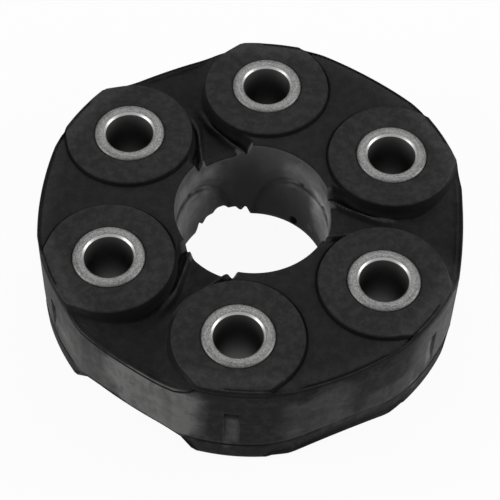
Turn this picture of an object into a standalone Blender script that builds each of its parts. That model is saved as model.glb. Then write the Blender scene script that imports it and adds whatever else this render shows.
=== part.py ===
"""Flexible propshaft joint: a rubber disc moulded round six steel sleeves.

Inside the rubber, loops of wound cord tie each sleeve to its two neighbours, and steel collars on
the sleeves keep the loops apart. Three links are thick, with two loops each, and carry the drive.
The three links between them are thin, with one loop each, and carry the overrun. The origin is the
centre of the bolt circle in the middle plane, and +Z is the shaft's axis. The sleeves and pads are
alike on both faces, and the links' upper faces stand further out than their lower ones.
"""

import math

import bmesh
import bpy

# Driving sizes in metres and angles in radians

LINK_PAIRS = 3
BOLT_CIRCLE_RADIUS = 0.0390
SEAT_GAP = 0.0003

SLEEVE_BORE_RADIUS = 0.00605
SLEEVE_WALL = 0.0029
SLEEVE_STANDS_PROUD = 0.0004
BORE_CHAMFER = 0.0006
RIM_CHAMFER = 0.0003

CORD_PACK_THICKNESS = 0.0029
DRIVE_CORD_HEIGHT = 0.0070
OVERRUN_CORD_HEIGHT = 0.0092
CORD_CORNER = 0.0007
LARGEST_CORNER_SHARE = 0.3

COLLAR_THICKNESS = 0.0012
COLLAR_OVERHANG = 0.0002

PAD_COVER = 0.0009
PAD_SKIN = 0.0033
PAD_DRAFT = 0.0012
PAD_REACHES_PAST_WALL = 0.0002
PAD_FOOT_PAST_WALL = 0.0001
PAD_EAR_ANGLE = math.radians(8)

SHOULDER_WIDTH = 0.0008
SHOULDER_DRAFT = 0.0006
SHOULDER_BELOW_PAD = 0.0038
SHOULDER_NOSE_HALF_WIDTH = 0.0055

BOSS_SKIN = 0.0027
BOSS_ARC_ANGLE = math.radians(15)
DRIVE_LINK_SKIN = 0.0075
OVERRUN_LINK_SKIN = 0.0070
HOLE_SKIN = 0.0016

DRIVE_LAND_COVER = 0.0013
DRIVE_LAND_SLOPE = math.radians(19)
UPPER_FOLD_SKIN = 0.0040
LOWER_FOLD_SKIN = -0.0003
UPPER_FLOOR_COVER = 0.0056
LOWER_FLOOR_COVER = 0.0041

SLOT_WIDTH = 0.0035
SLOT_DEPTH = 0.0008
SLOT_TOP = 0.0050
SLOT_HEIGHT = 0.0144

SLEEVE_STEPS = 32
COLLAR_STEPS = 20
CORD_STEPS = 24
RUBBER_STEPS = 22
HOLE_STEPS = 48
ARC_STEPS = 4
CUT_MARGIN = 0.0020
JOIN_OVERLAP = 0.0003
FLAT_ANGLE = math.radians(0.03)
SHARP_ANGLE = math.radians(25)

# Sizes that follow from them

SLEEVE_COUNT = 2 * LINK_PAIRS
SECTOR = math.tau / SLEEVE_COUNT
FIRST_SLEEVE_ANGLE = SECTOR / 2
SLEEVE_SPACING = 2 * BOLT_CIRCLE_RADIUS * math.sin(SECTOR / 2)
LINK_DISTANCE = BOLT_CIRCLE_RADIUS * math.cos(SECTOR / 2)

SLEEVE_RADIUS = SLEEVE_BORE_RADIUS + SLEEVE_WALL
SEAT_RADIUS = SLEEVE_RADIUS + SEAT_GAP
CORD_OUTER_RADIUS = SEAT_RADIUS + CORD_PACK_THICKNESS
COLLAR_RADIUS = CORD_OUTER_RADIUS + COLLAR_OVERHANG
CHANNEL_RADIUS = CORD_OUTER_RADIUS + SEAT_GAP
POCKET_RADIUS = COLLAR_RADIUS + SEAT_GAP

OVERRUN_CORD_TOP = OVERRUN_CORD_HEIGHT / 2
INNER_COLLAR_LOW = OVERRUN_CORD_TOP + SEAT_GAP
INNER_COLLAR_TOP = INNER_COLLAR_LOW + COLLAR_THICKNESS
DRIVE_CORD_LOW = INNER_COLLAR_TOP + SEAT_GAP
DRIVE_CORD_TOP = DRIVE_CORD_LOW + DRIVE_CORD_HEIGHT
DRIVE_CORD_MIDDLE = (DRIVE_CORD_LOW + DRIVE_CORD_TOP) / 2
OUTER_COLLAR_LOW = DRIVE_CORD_TOP + SEAT_GAP
OUTER_COLLAR_TOP = OUTER_COLLAR_LOW + COLLAR_THICKNESS
POCKET_TOP = OUTER_COLLAR_TOP + SEAT_GAP

PAD_TOP = POCKET_TOP + PAD_COVER
SLEEVE_TOP = PAD_TOP + SLEEVE_STANDS_PROUD
PAST_FACE = SLEEVE_TOP + CUT_MARGIN
SHOULDER_TOP = PAD_TOP - SHOULDER_BELOW_PAD
DRIVE_LAND_TOP = DRIVE_CORD_TOP + SEAT_GAP + DRIVE_LAND_COVER
UPPER_FLOOR = OVERRUN_CORD_TOP + SEAT_GAP + UPPER_FLOOR_COVER
LOWER_FLOOR = -(OVERRUN_CORD_TOP + SEAT_GAP + LOWER_FLOOR_COVER)

PAD_RADIUS = POCKET_RADIUS + PAD_SKIN
PAD_FOOT_RADIUS = PAD_RADIUS + PAD_DRAFT
SHOULDER_RADIUS = PAD_FOOT_RADIUS + SHOULDER_WIDTH
WALL_REACH = BOLT_CIRCLE_RADIUS + POCKET_RADIUS + BOSS_SKIN
DRIVE_LINK_REACH = LINK_DISTANCE + CHANNEL_RADIUS + DRIVE_LINK_SKIN
OVERRUN_LINK_REACH = LINK_DISTANCE + CHANNEL_RADIUS + OVERRUN_LINK_SKIN
UPPER_FOLD_DISTANCE = LINK_DISTANCE + CHANNEL_RADIUS + UPPER_FOLD_SKIN
LOWER_FOLD_DISTANCE = LINK_DISTANCE + CHANNEL_RADIUS + LOWER_FOLD_SKIN
HOLE_RADIUS = LINK_DISTANCE - CHANNEL_RADIUS - HOLE_SKIN


# Meshes


def circle(radius, steps):
    """Points on a circle, as a shaft would be drawn: its corners lie on the radius."""
    angles = [math.tau * step / steps for step in range(steps)]
    return [(radius * math.cos(a), radius * math.sin(a)) for a in angles]


def hole_corner_radius(radius, steps):
    """The corner radius of a many-sided hole whose flats still clear a shaft of this radius."""
    return radius / math.cos(math.pi / steps)


def racetrack(radius):
    """The line of a cord loop at one distance from the axes of the two sleeves that it goes round."""
    half_steps = CORD_STEPS // 2
    points = []
    for side in (1, -1):
        for step in range(half_steps + 1):
            angle = math.pi * (step / half_steps - 0.5)
            x = SLEEVE_SPACING / 2 + radius * math.cos(angle)
            points.append((side * x, side * radius * math.sin(angle)))
    return points


def pad_tip(radius, reach):
    """A pad's outer edge, seen from its sleeve's axis: an arc round the shaft's axis, between two ears."""
    meeting = (reach**2 + BOLT_CIRCLE_RADIUS**2 - radius**2) / (2 * reach * BOLT_CIRCLE_RADIUS)
    half_angle = max(PAD_EAR_ANGLE, math.acos(min(1.0, meeting)))
    angles = [half_angle * (2 * step / ARC_STEPS - 1) for step in range(ARC_STEPS + 1)]
    return [(reach * math.cos(a) - BOLT_CIRCLE_RADIUS, reach * math.sin(a)) for a in angles]


def teardrop(radius, tip):
    """A circle round a sleeve joined by tangents to a tip, whose points run anticlockwise."""
    end_x, end_y = tip[-1]
    end_angle = math.atan2(end_y, end_x)
    clearance = math.acos(min(1.0, radius / math.hypot(end_x, end_y)))
    start_x, start_y = tip[0]
    start_angle = math.atan2(start_y, start_x)
    first = end_angle + clearance
    sweep = (start_angle - clearance - first) % math.tau
    turns = [first + sweep * step / RUBBER_STEPS for step in range(RUBBER_STEPS + 1)]
    return list(tip) + [(radius * math.cos(a), radius * math.sin(a)) for a in turns]


def at_height(outline, z):
    return [(x, y, z) for x, y in outline]


def skin(name, rows, closed=False):
    """A solid through rows of points: capped at both ends, or closed round into a ring."""
    solid = bmesh.new()
    rings = [[solid.verts.new(point) for point in row] for row in rows]
    count = len(rings[0])
    following = rings[1:] + rings[:1] if closed else rings[1:]
    for near, far in zip(rings, following):
        for corner in range(count):
            after = (corner + 1) % count
            solid.faces.new((near[corner], near[after], far[after], far[corner]))
    if not closed:
        solid.faces.new(rings[0])
        solid.faces.new(rings[-1])
    bmesh.ops.recalc_face_normals(solid, faces=solid.faces)
    bmesh.ops.triangulate(solid, faces=solid.faces)
    mesh = bpy.data.meshes.new(name)
    solid.to_mesh(mesh)
    solid.free()
    shade(mesh)
    return mesh


def shade(mesh):
    mesh.shade_smooth()
    mesh.set_sharp_from_angle(angle=SHARP_ANGLE)


def prism(name, outline, low, high):
    return skin(name, [at_height(outline, low), at_height(outline, high)])


def ring(name, outline, section):
    """A closed ring: each point of the section is a distance from the line's axes and a height."""
    return skin(name, [at_height(outline(radius), z) for radius, z in section], closed=True)


# Materials


def material(name, colour, roughness, metallic):
    made = bpy.data.materials.new(name)
    made.use_nodes = True
    shader = made.node_tree.nodes["Principled BSDF"]
    shader.inputs["Base Color"].default_value = (*colour, 1.0)
    shader.inputs["Roughness"].default_value = roughness
    shader.inputs["Metallic"].default_value = metallic
    made.diffuse_color = (*colour, 1.0)
    return made


# Placing


def place(name, mesh, finish, parent, distance=0.0, angle=0.0, z=0.0, turn=0.0):
    """Puts one piece at a distance from the shaft's axis, turned to face away from it."""
    piece = bpy.data.objects.new(name, mesh)
    bpy.context.scene.collection.objects.link(piece)
    piece.location = (distance * math.cos(angle), distance * math.sin(angle), z)
    piece.rotation_euler = (0.0, 0.0, angle + turn)
    piece.parent = parent
    if finish and not mesh.materials:
        mesh.materials.append(finish)
    return piece


def place_helper(name, mesh, collection, distance=0.0, angle=0.0, z=0.0, turn=0.0):
    """A solid that only shapes the rubber: a form that adds to it, or a cutter."""
    helper = place(name, mesh, None, None, distance, angle, z, turn)
    helper.hide_render = True
    helper.display_type = "WIRE"
    collection.objects.link(helper)
    bpy.context.scene.collection.objects.unlink(helper)
    return helper


def helper_collection(name):
    collection = bpy.data.collections.new(name)
    bpy.context.scene.collection.children.link(collection)
    return collection


def remove_helpers():
    for helper in [thing for thing in bpy.data.objects if thing.hide_render]:
        bpy.data.objects.remove(helper)
    for collection in list(bpy.data.collections):
        bpy.data.collections.remove(collection)


def combine(piece, name, operation, collection=None, other=None):
    """Joins or cuts by closed solids. The exact solver leaves open edges on these drafted faces."""
    modifier = piece.modifiers.new(name, "BOOLEAN")
    modifier.operation = operation
    modifier.solver = "MANIFOLD"
    if collection:
        modifier.operand_type = "COLLECTION"
        modifier.collection = collection
    else:
        modifier.object = other


def sleeve_angle(index):
    return FIRST_SLEEVE_ANGLE + SECTOR * index


def link_angle(index):
    """The link after one sleeve. Even links carry the drive and odd ones the overrun."""
    return sleeve_angle(index) + SECTOR / 2


def is_drive_link(index):
    return index % 2 == 0


# Steel sleeves and collars


def add_sleeves(finish, parent):
    bore = SLEEVE_BORE_RADIUS
    outer = SLEEVE_RADIUS
    top_half = [
        (bore, SLEEVE_TOP - BORE_CHAMFER),
        (bore + BORE_CHAMFER, SLEEVE_TOP),
        (outer - RIM_CHAMFER, SLEEVE_TOP),
        (outer, SLEEVE_TOP - RIM_CHAMFER),
    ]
    section = top_half + [(radius, -z) for radius, z in reversed(top_half)]
    mesh = ring("sleeve", lambda radius: circle(radius, SLEEVE_STEPS), section)
    for index in range(SLEEVE_COUNT):
        place(f"sleeve_{index + 1}", mesh, finish, parent, BOLT_CIRCLE_RADIUS, sleeve_angle(index))


def add_collars(finish, parent):
    """Four flat rings on each sleeve, one at each side of every cord loop."""
    inner = hole_corner_radius(SEAT_RADIUS, COLLAR_STEPS)
    half = COLLAR_THICKNESS / 2
    section = [(inner, -half), (COLLAR_RADIUS, -half), (COLLAR_RADIUS, half), (inner, half)]
    mesh = ring("collar", lambda radius: circle(radius, COLLAR_STEPS), section)
    outer_middle = OUTER_COLLAR_LOW + half
    inner_middle = INNER_COLLAR_LOW + half
    heights = {
        "outer_collar_top": outer_middle,
        "inner_collar_top": inner_middle,
        "inner_collar_bottom": -inner_middle,
        "outer_collar_bottom": -outer_middle,
    }
    for index in range(SLEEVE_COUNT):
        for name, z in heights.items():
            place(
                f"{name}_{index + 1}", mesh, finish, parent,
                BOLT_CIRCLE_RADIUS, sleeve_angle(index), z,
            )


# Wound cord loops


def cord_loop(name, height):
    inner = hole_corner_radius(SEAT_RADIUS, CORD_STEPS)
    outer = CORD_OUTER_RADIUS
    half = height / 2
    corner = min(CORD_CORNER, LARGEST_CORNER_SHARE * min(height, CORD_PACK_THICKNESS))
    section = [
        (inner, -half),
        (outer - corner, -half),
        (outer, corner - half),
        (outer, half - corner),
        (outer - corner, half),
        (inner, half),
    ]
    return ring(name, racetrack, section)


def add_cord_loops(finish, parent):
    """Two loops in each thick link and one in each thin link, turned to lie along the link."""
    drive_mesh = cord_loop("drive_cord", DRIVE_CORD_HEIGHT)
    overrun_mesh = cord_loop("overrun_cord", OVERRUN_CORD_HEIGHT)
    for index in range(SLEEVE_COUNT):
        if is_drive_link(index):
            loops = {
                "drive_cord_top": (drive_mesh, DRIVE_CORD_MIDDLE),
                "drive_cord_bottom": (drive_mesh, -DRIVE_CORD_MIDDLE),
            }
        else:
            loops = {"overrun_cord": (overrun_mesh, 0.0)}
        for name, (mesh, z) in loops.items():
            place(
                f"{name}_{index // 2 + 1}", mesh, finish, parent,
                LINK_DISTANCE, link_angle(index), z, math.pi / 2,
            )


# Rubber body


def wall_outline():
    """The disc seen along its axis: an arc at each sleeve and a slightly bulged side at each link."""
    points = []
    for index in range(SLEEVE_COUNT):
        for step in range(ARC_STEPS + 1):
            angle = sleeve_angle(index) + BOSS_ARC_ANGLE * (2 * step / ARC_STEPS - 1)
            points.append((WALL_REACH * math.cos(angle), WALL_REACH * math.sin(angle)))
        side = SECTOR / 2 - BOSS_ARC_ANGLE
        straight = WALL_REACH * math.cos(side)
        reach = DRIVE_LINK_REACH if is_drive_link(index) else OVERRUN_LINK_REACH
        angle = link_angle(index)
        for step in range(1, ARC_STEPS):
            share = 2 * step / ARC_STEPS - 1
            away = straight + (reach - straight) * (1 - share**2)
            along = WALL_REACH * math.sin(side) * share
            points.append(
                (
                    away * math.cos(angle) - along * math.sin(angle),
                    away * math.sin(angle) + along * math.cos(angle),
                )
            )
    return points


def shoulder_form():
    """A low step round one sleeve, drawn out to the middle hole by a nose."""
    nose_x = HOLE_RADIUS - CUT_MARGIN - BOLT_CIRCLE_RADIUS
    nose = [(nose_x, SHOULDER_NOSE_HALF_WIDTH), (nose_x, -SHOULDER_NOSE_HALF_WIDTH)]
    wide = teardrop(SHOULDER_RADIUS + SHOULDER_DRAFT, nose)
    narrow = teardrop(SHOULDER_RADIUS, nose)
    rows = [
        at_height(narrow, -SHOULDER_TOP),
        at_height(wide, max(LOWER_FLOOR, -SHOULDER_TOP) + JOIN_OVERLAP),
        at_height(wide, min(UPPER_FLOOR, SHOULDER_TOP) - JOIN_OVERLAP),
        at_height(narrow, SHOULDER_TOP),
    ]
    return skin("shoulder_form", rows)


def land_edge(fold):
    """A thick link's face cut lengthwise: flat over the cord loops, then falling away to the wall."""
    inner = HOLE_RADIUS * math.cos(SECTOR / 2) - CUT_MARGIN
    outer = WALL_REACH + CUT_MARGIN
    fall = (outer - fold) * math.tan(DRIVE_LAND_SLOPE)
    return [(inner, DRIVE_LAND_TOP), (fold, DRIVE_LAND_TOP), (outer, DRIVE_LAND_TOP - fall)]


def land_form():
    upper = land_edge(UPPER_FOLD_DISTANCE)
    lower = [(away, -z) for away, z in reversed(land_edge(LOWER_FOLD_DISTANCE))]
    profile = upper + lower
    spread = math.tan(SECTOR / 2)
    rows = [[(away, side * away * spread, z) for away, z in profile] for side in (-1, 1)]
    return skin("land_form", rows)


def body_heights():
    """What the plain outline is cut down to: the floor of the thin links, the shoulders and the lands."""
    forms = helper_collection("body_forms")
    shoulder = shoulder_form()
    land = land_form()
    for index in range(SLEEVE_COUNT):
        place_helper("shoulder_form", shoulder, forms, BOLT_CIRCLE_RADIUS, sleeve_angle(index))
        if is_drive_link(index):
            place_helper("land_form", land, forms, 0.0, link_angle(index))
    outline = circle(hole_corner_radius(WALL_REACH + CUT_MARGIN, RUBBER_STEPS), RUBBER_STEPS)
    floor = prism("floor_form", outline, LOWER_FLOOR, UPPER_FLOOR)
    heights = place_helper("body_heights", floor, helper_collection("body_heights"))
    combine(heights, "add_shoulders_and_lands", "UNION", collection=forms)
    return heights


def pad_forms():
    """Flat pads round the sleeves on both faces, widened by two ears along the outer wall."""
    foot_z = SHOULDER_TOP - JOIN_OVERLAP
    outlines = [
        (PAD_RADIUS, WALL_REACH - JOIN_OVERLAP, foot_z - JOIN_OVERLAP),
        (PAD_FOOT_RADIUS, WALL_REACH + PAD_FOOT_PAST_WALL, foot_z),
        (PAD_RADIUS, WALL_REACH + PAD_REACHES_PAST_WALL, PAD_TOP),
    ]
    upper_rows = []
    for radius, reach, z in outlines:
        upper_rows.append(at_height(teardrop(radius, pad_tip(radius, reach)), z))
    lower_rows = [[(x, y, -z) for x, y, z in row] for row in reversed(upper_rows)]
    pad = skin("pad_form", lower_rows + upper_rows)
    pads = helper_collection("pad_forms")
    for index in range(SLEEVE_COUNT):
        place_helper("pad_form", pad, pads, BOLT_CIRCLE_RADIUS, sleeve_angle(index))
    return pads


def sleeve_well():
    """The space for one sleeve, widened in the middle for its collars and the turns of the cord."""
    seat = circle(hole_corner_radius(SEAT_RADIUS, CORD_STEPS), CORD_STEPS)
    pocket = circle(hole_corner_radius(POCKET_RADIUS, CORD_STEPS), CORD_STEPS)
    rows = [
        at_height(seat, -PAST_FACE),
        at_height(seat, -POCKET_TOP),
        at_height(pocket, -POCKET_TOP),
        at_height(pocket, POCKET_TOP),
        at_height(seat, POCKET_TOP),
        at_height(seat, PAST_FACE),
    ]
    return skin("sleeve_well", rows)


def cord_channel(name, cord_height):
    outer = hole_corner_radius(CHANNEL_RADIUS, CORD_STEPS)
    inner = SEAT_RADIUS - SEAT_GAP
    half = cord_height / 2 + SEAT_GAP
    section = [(inner, -half), (outer, -half), (outer, half), (inner, half)]
    return ring(name, racetrack, section)


def wall_slot():
    floor_x = WALL_REACH - BOLT_CIRCLE_RADIUS - SLOT_DEPTH
    open_x = floor_x + SLOT_DEPTH + CUT_MARGIN
    half = SLOT_WIDTH / 2
    outline = [(floor_x, -half), (open_x, -half), (open_x, half), (floor_x, half)]
    return prism("wall_slot", outline, SLOT_TOP - SLOT_HEIGHT, SLOT_TOP)


def cutters():
    """The middle hole, the seats of the sleeves and collars, the wall slots and the cord channels."""
    tools = helper_collection("body_cutters")
    hole = circle(hole_corner_radius(HOLE_RADIUS, HOLE_STEPS), HOLE_STEPS)
    place_helper("middle_hole", prism("middle_hole", hole, -PAST_FACE, PAST_FACE), tools)
    well = sleeve_well()
    slot = wall_slot()
    drive_channel = cord_channel("drive_channel", DRIVE_CORD_HEIGHT)
    overrun_channel = cord_channel("overrun_channel", OVERRUN_CORD_HEIGHT)
    for index in range(SLEEVE_COUNT):
        place_helper("sleeve_well", well, tools, BOLT_CIRCLE_RADIUS, sleeve_angle(index))
        place_helper("wall_slot", slot, tools, BOLT_CIRCLE_RADIUS, sleeve_angle(index))
        angle = link_angle(index)
        if is_drive_link(index):
            for z in (DRIVE_CORD_MIDDLE, -DRIVE_CORD_MIDDLE):
                place_helper("channel", drive_channel, tools, LINK_DISTANCE, angle, z, math.pi / 2)
        else:
            place_helper("channel", overrun_channel, tools, LINK_DISTANCE, angle, 0.0, math.pi / 2)
    return tools


def add_rubber_body(finish, parent):
    blank = prism("rubber_body", wall_outline(), -PAST_FACE, PAST_FACE)
    body = place("rubber_body", blank, finish, parent)
    combine(body, "cut_to_heights", "INTERSECT", other=body_heights())
    combine(body, "add_pads", "UNION", collection=pad_forms())
    combine(body, "cut_openings", "DIFFERENCE", collection=cutters())
    flat = body.modifiers.new("merge_flat_faces", "DECIMATE")
    flat.decimate_type = "DISSOLVE"
    flat.angle_limit = FLAT_ANGLE
    finished = body.evaluated_get(bpy.context.evaluated_depsgraph_get())
    body.data = bpy.data.meshes.new_from_object(finished)
    body.modifiers.clear()
    shade(body.data)
    remove_helpers()


def build():
    for thing in list(bpy.data.objects):
        bpy.data.objects.remove(thing)
    joint = bpy.data.objects.new("propshaft_joint", None)
    bpy.context.scene.collection.objects.link(joint)
    rubber = material("black_rubber", (0.030, 0.030, 0.031), 0.62, 0.0)
    sleeve_steel = material("machined_steel", (0.56, 0.56, 0.55), 0.38, 1.0)
    collar_steel = material("pressed_steel", (0.40, 0.40, 0.41), 0.50, 1.0)
    cord = material("wound_polyester_cord", (0.62, 0.56, 0.44), 0.85, 0.0)
    add_sleeves(sleeve_steel, joint)
    add_collars(collar_steel, joint)
    add_cord_loops(cord, joint)
    add_rubber_body(rubber, joint)


build()
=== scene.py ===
"""Flexible propshaft joint: a black rubber disc moulded round six steel sleeves.

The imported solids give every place. The rubber and the sleeves are shown by finer pieces here,
and the collars and cord loops inside the rubber keep their own shapes and get their finishes.
Lengths are in metres and angles in radians, unless a comment says otherwise.
"""

import math
from collections import namedtuple

import bmesh
import bpy
import numpy as np
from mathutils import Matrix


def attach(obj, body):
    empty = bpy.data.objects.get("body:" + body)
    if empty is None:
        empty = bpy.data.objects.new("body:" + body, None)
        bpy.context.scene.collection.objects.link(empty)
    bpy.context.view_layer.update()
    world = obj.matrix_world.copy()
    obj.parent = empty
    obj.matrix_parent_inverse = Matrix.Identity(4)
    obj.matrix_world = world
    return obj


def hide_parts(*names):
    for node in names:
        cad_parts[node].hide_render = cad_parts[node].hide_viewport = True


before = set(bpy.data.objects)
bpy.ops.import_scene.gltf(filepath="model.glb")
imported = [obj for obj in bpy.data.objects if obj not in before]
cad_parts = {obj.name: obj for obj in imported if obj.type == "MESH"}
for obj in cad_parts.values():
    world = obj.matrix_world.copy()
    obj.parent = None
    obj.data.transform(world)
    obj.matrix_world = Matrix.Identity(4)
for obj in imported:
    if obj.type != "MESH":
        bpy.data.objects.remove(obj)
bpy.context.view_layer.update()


# Bolt sleeves
# Each is a length of thick steel tube, cut and faced in a lathe, its bore chamfered for the bolt.
# It is bonded into the rubber and stands just proud of it, so that the flanges clamp on steel.

SLEEVE_COUNT = 6
SECTOR = math.tau / SLEEVE_COUNT
BOLT_CIRCLE_RADIUS = 0.0390
SLEEVE_TOP = 0.0165
SLEEVE_BORE_RADIUS = 0.00605
SLEEVE_RADIUS = 0.00895
BORE_CHAMFER = 0.0006
RIM_CHAMFER = 0.0003
SOFT_CORNER = 0.00006
SLEEVE_STEPS = 144
SLEEVE_SHARP_ANGLE = math.radians(50)

FACED_STEEL = (0.090, 0.090, 0.089)
SCUFFED_STEEL = (0.052, 0.052, 0.051)
# Bright flecks in the face, and the whole chamfer, where it is a painted highlight for its glints
BRIGHT_STEEL_AND_CHAMFER_GLINT = (0.33, 0.33, 0.325)
BORE_STEEL = (0.070, 0.070, 0.071)
STEEL_GRAINS_PER_METRE = 2600
SCUFFS_PER_METRE = 420
RINGS_PER_METRE = 9000
RING_DRIFT_PER_METRE = 300
TURNING_RELIEF = 0.00003


class Wire:
    """A socket in a material's shader. Arithmetic on wires adds Math nodes to the material."""

    def __init__(self, socket):
        self.socket = socket

    def node(self, kind, settings=None, inputs=None, output=0):
        """Adds a node to this wire's material: its settings, then its inputs' values or wires."""
        tree = self.socket.id_data
        added = tree.nodes.new("ShaderNode" + kind)
        for name, value in (settings or {}).items():
            setattr(added, name, value)
        for name, value in (inputs or {}).items():
            if isinstance(value, Wire):
                tree.links.new(value.socket, added.inputs[name])
            else:
                added.inputs[name].default_value = value
        return Wire(added.outputs[output])

    def feed(self, shader, name):
        self.socket.id_data.links.new(self.socket, shader.inputs[name])

    def calculate(self, operation, first, second=0.0, clamp=False):
        settings = {"operation": operation, "use_clamp": clamp}
        return self.node("Math", settings, {0: first, 1: second})

    def __add__(self, other):
        return self.calculate("ADD", self, other)

    def __radd__(self, other):
        return self.calculate("ADD", other, self)

    def __sub__(self, other):
        return self.calculate("SUBTRACT", self, other)

    def __rsub__(self, other):
        return self.calculate("SUBTRACT", other, self)

    def __mul__(self, other):
        return self.calculate("MULTIPLY", self, other)

    def __rmul__(self, other):
        return self.calculate("MULTIPLY", other, self)

    def __truediv__(self, other):
        return self.calculate("DIVIDE", self, other)

    def __pow__(self, other):
        return self.calculate("POWER", self, other)

    def clipped(self):
        return self.calculate("ADD", self, 0.0, clamp=True)

    def absolute(self):
        return self.calculate("ABSOLUTE", self)

    def sine(self):
        return self.calculate("SINE", self)

    def between(self, low, high):
        """0 up to low and 1 from high, with a soft rise from one to the other."""
        settings = {"interpolation_type": "SMOOTHSTEP"}
        limits = {"From Min": min(low, high), "From Max": max(low, high)}
        rise = self.node("MapRange", settings, {"Value": self, **limits})
        return rise if low < high else 1 - rise

    def within(self, start, full, fading, end):
        """1 from full to fading, with soft sides that reach 0 at start and at end."""
        return self.between(start, full) * self.between(end, fading)

    def part(self, axis):
        return self.node("SeparateXYZ", None, {0: self}, "XYZ".index(axis))

    def scaled(self, x, y, z):
        settings = {"operation": "MULTIPLY"}
        return self.node("VectorMath", settings, {0: self, 1: (x, y, z)})

    def noise(self, scale, detail=2.0, roughness=0.5):
        """Cloudy grain at this point, from 0 to 1. The scale counts clouds to the metre."""
        inputs = {"Vector": self, "Scale": scale, "Detail": detail, "Roughness": roughness}
        return self.node("TexNoise", None, inputs)

    def blend(self, start, end):
        """The colour at this share of the way from one colour to another."""
        settings = {"data_type": "RGBA"}
        ends = [tint if isinstance(tint, Wire) else (*tint, 1.0) for tint in (start, end)]
        return self.node("Mix", settings, {0: self, 6: ends[0], 7: ends[1]}, 2)

    def bump(self, distance, strength=1.0):
        return self.node("Bump", None, {"Height": self, "Distance": distance, "Strength": strength})


def new_finish(name):
    """An empty material, its main shader, and the place on the piece as a wire."""
    made = bpy.data.materials.new(name)
    made.use_nodes = True
    shader = made.node_tree.nodes["Principled BSDF"]
    place = Wire(shader.inputs["Base Color"]).node("TexCoord", None, None, "Object")
    return made, shader, place


def distance_from_axis(place):
    return (place.part("X") ** 2 + place.part("Y") ** 2) ** 0.5


def machined_steel():
    """Faced end with fine turning rings and scuffs, a painted highlight on the chamfer, and a dull
    dark bore.
    """
    made, shader, place = new_finish("machined_steel")
    radius = distance_from_axis(place)
    height = place.part("Z").absolute()
    grain = place.noise(STEEL_GRAINS_PER_METRE, detail=4.0, roughness=0.7)
    scuffs = place.noise(SCUFFS_PER_METRE, detail=3.0).between(0.45, 0.7)
    inside = radius.between(SLEEVE_BORE_RADIUS + 0.00012, SLEEVE_BORE_RADIUS + 0.00004)
    chamfer_edge = SLEEVE_BORE_RADIUS + BORE_CHAMFER
    chamfer = radius.between(chamfer_edge, chamfer_edge - 0.2 * BORE_CHAMFER)
    rim = radius.between(SLEEVE_RADIUS - 0.9 * RIM_CHAMFER, SLEEVE_RADIUS - 0.6 * RIM_CHAMFER)
    face = scuffs.blend(FACED_STEEL, SCUFFED_STEEL)
    face = (grain.between(0.35, 0.7) * 0.6).blend(face, BRIGHT_STEEL_AND_CHAMFER_GLINT)
    # The chamfer is painted bright all round: a painted highlight
    face = chamfer.blend(face, BRIGHT_STEEL_AND_CHAMFER_GLINT)
    face = (rim * 0.5).blend(face, SCUFFED_STEEL)
    inside.blend(face, BORE_STEEL).feed(shader, "Base Color")
    (0.42 + 0.14 * grain - 0.12 * chamfer + 0.15 * inside).feed(shader, "Roughness")
    shader.inputs["Metallic"].default_value = 1.0
    across_rings = {"X": radius * RINGS_PER_METRE, "Y": height * RING_DRIFT_PER_METRE}
    rings = place.node("CombineXYZ", None, across_rings)
    rings = rings.noise(1.0, detail=2.0)
    (0.5 * rings + 0.5 * grain).bump(TURNING_RELIEF, 0.5).feed(shader, "Normal")
    return made


def turned_ring(name, section, steps):
    """A mesh turned about its own axis: each point of the section is a radius and a height."""
    turns = np.arange(steps) * math.tau / steps
    radii = np.array([radius for radius, z in section])
    heights = np.array([z for radius, z in section])
    x = np.outer(np.cos(turns), radii)
    y = np.outer(np.sin(turns), radii)
    z = np.tile(heights, (steps, 1))
    points = np.stack([x, y, z], axis=-1).reshape(-1, 3)
    corner = np.arange(steps * len(section)).reshape(steps, len(section))
    after = np.roll(corner, -1, axis=0)
    faces = np.stack(
        [corner, after, np.roll(after, -1, axis=1), np.roll(corner, -1, axis=1)], axis=-1
    )
    mesh = bpy.data.meshes.new(name)
    mesh.from_pydata(points.tolist(), [], faces.reshape(-1, 4).tolist())
    return mesh


def sleeve_section():
    """The sleeve's wall cut lengthwise: bore, chamfer, faced end, outer edge, and their mirror."""
    bore = SLEEVE_BORE_RADIUS
    outer = SLEEVE_RADIUS
    soft = SOFT_CORNER
    upper = [
        (bore, SLEEVE_TOP - BORE_CHAMFER - soft),
        (bore + soft, SLEEVE_TOP - BORE_CHAMFER),
        (bore + BORE_CHAMFER - soft, SLEEVE_TOP - soft),
        (bore + BORE_CHAMFER + soft, SLEEVE_TOP),
        (outer - RIM_CHAMFER - soft, SLEEVE_TOP),
        (outer - RIM_CHAMFER, SLEEVE_TOP - soft),
        (outer - soft, SLEEVE_TOP - RIM_CHAMFER),
        (outer, SLEEVE_TOP - RIM_CHAMFER - soft),
    ]
    return upper + [(radius, -z) for radius, z in reversed(upper)]


def sleeve_angle(index):
    return SECTOR * (index + 0.5)


def show(name, mesh, material, nodes, place=(0.0, 0.0, 0.0), turn=0.0):
    """Adds one piece of the joint, fixed to it, in the place of the nodes that it stands for."""
    piece = bpy.data.objects.new(name, mesh)
    bpy.context.scene.collection.objects.link(piece)
    piece.location = place
    piece.rotation_euler = (0.0, 0.0, turn)
    if not mesh.materials:
        mesh.materials.append(material)
    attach(piece, "root")
    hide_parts(*nodes)
    return piece


def smooth_but_for_edges(mesh, angle):
    mesh.shade_smooth()
    mesh.set_sharp_from_angle(angle=angle)


sleeve_mesh = turned_ring("turned_sleeve", sleeve_section(), SLEEVE_STEPS)
smooth_but_for_edges(sleeve_mesh, SLEEVE_SHARP_ANGLE)
sleeve_steel = machined_steel()
for index in range(SLEEVE_COUNT):
    angle = sleeve_angle(index)
    place = (BOLT_CIRCLE_RADIUS * math.cos(angle), BOLT_CIRCLE_RADIUS * math.sin(angle), 0.0)
    name = f"sleeve_{index + 1}"
    show("turned_" + name, sleeve_mesh, sleeve_steel, [name], place, angle)


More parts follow.
